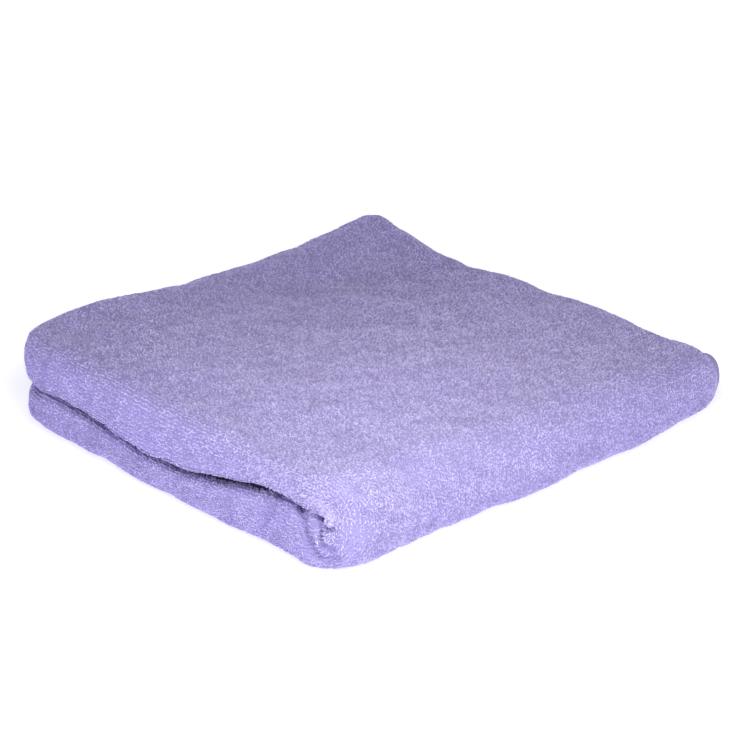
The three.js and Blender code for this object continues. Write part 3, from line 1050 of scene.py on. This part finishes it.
def make_label(material):
    """A blank folded label: two leaves and the fold that joins them, drooping outside."""
    inside, outside = CLOTH_WIDTH - LABEL_INSIDE, CLOTH_WIDTH + LABEL_OUTSIDE
    radius = LABEL_LOOP / 2
    bend = np.linspace(-math.pi / 2, math.pi / 2, 9)
    leaf = np.linspace(inside, outside, 15)
    reach = np.concatenate([leaf, outside + radius * np.cos(bend[1:-1]), leaf[::-1]])
    rise = np.concatenate([
        np.full(15, -radius), radius * np.sin(bend[1:-1]), np.full(15, radius),
    ])
    turn = np.arctan2(np.gradient(rise), np.gradient(reach))
    widths = np.linspace(LABEL_FROM_END, LABEL_FROM_END + LABEL_WIDTH, 21)
    layers = []
    for skin in (-0.5, 0.5):
        across = reach + skin * LABEL_THICKNESS * -np.sin(turn)
        depth = rise + skin * LABEL_THICKNESS * np.cos(turn)
        grid_across = across[:, None] + 0 * widths
        grid_along = widths[None, :] + 0 * grid_across
        out = np.clip((grid_across - CLOTH_WIDTH) / LABEL_OUTSIDE, 0, 2)
        curl = np.abs(grid_along - LABEL_FROM_END - LABEL_WIDTH / 2) / LABEL_WIDTH
        droop = LABEL_DROOP * out * out * (1 - 0.5 * curl)
        grid_depth = depth[:, None] - LABEL_LOOP / 2 - LABEL_THICKNESS - 0.1 + droop
        layers.append(folded(grid_across, grid_along, grid_depth).reshape(-1, 3))
    faces = slab_faces(len(reach), len(widths))
    label = add_mesh("blank_care_label", np.concatenate(layers), faces, material)
    length = np.concatenate([[0], np.cumsum(np.hypot(np.diff(reach), np.diff(rise)))])
    over = np.tile(np.repeat(length, len(widths)), 2)
    lay_flat_map(label, over, np.tile(widths, 2 * len(reach)))
    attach(label, "lower_half")
    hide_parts("care_label")
    return label


# ---------------------------------------------------------------- stage
CAMERA_AZIMUTH = 46.63
CAMERA_ELEVATION = 25.29
CAMERA_DISTANCE = 1168.2
CAMERA_LENS = 120.0
CAMERA_SHIFT = (0.0107, 0.052)


def towards(azimuth, elevation):
    a, e = math.radians(azimuth), math.radians(elevation)
    return Vector((math.sin(a) * math.cos(e), -math.cos(a) * math.cos(e), math.sin(e)))


def make_camera():
    data = bpy.data.cameras.new("camera")
    camera = bpy.data.objects.new("camera", data)
    bpy.context.scene.collection.objects.link(camera)
    back = towards(CAMERA_AZIMUTH, CAMERA_ELEVATION)
    target = Vector((PLAN_MIDDLE[0], PLAN_MIDDLE[1], 0)) * MM
    camera.location = target + back * CAMERA_DISTANCE * MM
    camera.rotation_euler = back.to_track_quat("Z", "Y").to_euler()
    data.lens = CAMERA_LENS
    data.shift_x, data.shift_y = CAMERA_SHIFT
    data.clip_start = 0.01
    bpy.context.scene.camera = camera


def add_light(name, azimuth, elevation, distance, size, power, colour):
    data = bpy.data.lights.new(name, "AREA")
    data.size, data.energy, data.color = size, power, colour
    light = bpy.data.objects.new(name, data)
    bpy.context.scene.collection.objects.link(light)
    light.visible_camera = False
    back = towards(azimuth, elevation)
    light.location = back * distance
    light.rotation_euler = back.to_track_quat("Z", "Y").to_euler()


# Sky: strength at the horizon and overhead, the height where it has faded, and its colour
HORIZON_LIGHT = 4.7
ZENITH_LIGHT = 0.05
ZENITH_FROM = 0.44
SKY_COLOUR = (0.96, 0.97, 1.11)
FLOOR_HALF = 3000.0
FLOOR_GLOW = 0.60
# Lamps: name, azimuth, elevation, distance and width in metres, watts, colour
LIGHTS = (
    ("key_high", 48, 48, 0.35, 0.20, 0.95, (0.96, 1.01, 0.84)),
    ("key_low", 58, 30, 0.48, 0.22, 0.68, (0.96, 1.02, 0.62)),
    ("fill", -12, 18, 1.3, 0.9, 1.1, (1.0, 0.98, 1.06)),
    ("back_fill", 215, 12, 1.4, 0.9, 2.4, (1.0, 0.95, 1.14)),
)


def make_sky():
    """A pale studio, bright at the horizon and dimmer overhead."""
    world = bpy.data.worlds.new("studio")
    world.use_nodes = True
    tree = world.node_tree
    place = tree.nodes.new("ShaderNodeTexCoord")
    parts = tree.nodes.new("ShaderNodeSeparateXYZ")
    tree.links.new(place.outputs["Generated"], parts.inputs["Vector"])
    ramp = tree.nodes.new("ShaderNodeMapRange")
    ramp.interpolation_type = "SMOOTHSTEP"
    ramp.inputs["From Min"].default_value = 0
    ramp.inputs["From Max"].default_value = ZENITH_FROM
    ramp.inputs["To Min"].default_value = HORIZON_LIGHT
    ramp.inputs["To Max"].default_value = ZENITH_LIGHT
    tree.links.new(parts.outputs["Z"], ramp.inputs["Value"])
    background = tree.nodes["Background"]
    background.inputs["Color"].default_value = (*SKY_COLOUR, 1)
    tree.links.new(ramp.outputs["Result"], background.inputs["Strength"])
    bpy.context.scene.world = world


def make_stage():
    white, _, shader = new_material("pale_floor")
    shader.inputs["Base Color"].default_value = (0.93, 0.93, 0.94, 1)
    shader.inputs["Roughness"].default_value = 0.9
    shader.inputs["Emission Color"].default_value = (1, 1, 1, 1)
    shader.inputs["Emission Strength"].default_value = FLOOR_GLOW
    corners = [(-1, -1, 0), (1, -1, 0), (1, 1, 0), (-1, 1, 0)]
    floor = add_mesh("floor", FLOOR_HALF * np.array(corners), [(0, 1, 2, 3)], white)
    make_sky()
    bpy.context.scene.view_settings.view_transform = "Standard"
    for light in LIGHTS:
        add_light(*light)


# ---------------------------------------------------------------- assembly
make_camera()
make_stage()
cloth = make_cloth(ground_finish())
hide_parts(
    "lower_outer_ply", "lower_inner_ply", "fold_outer_ply", "fold_inner_ply", "upper_ply"
)
pile = make_pile(loop_finish())
tapes = make_bindings(tape_finish())
stitches = make_stitches(thread_finish())
label = make_label(satin_finish())
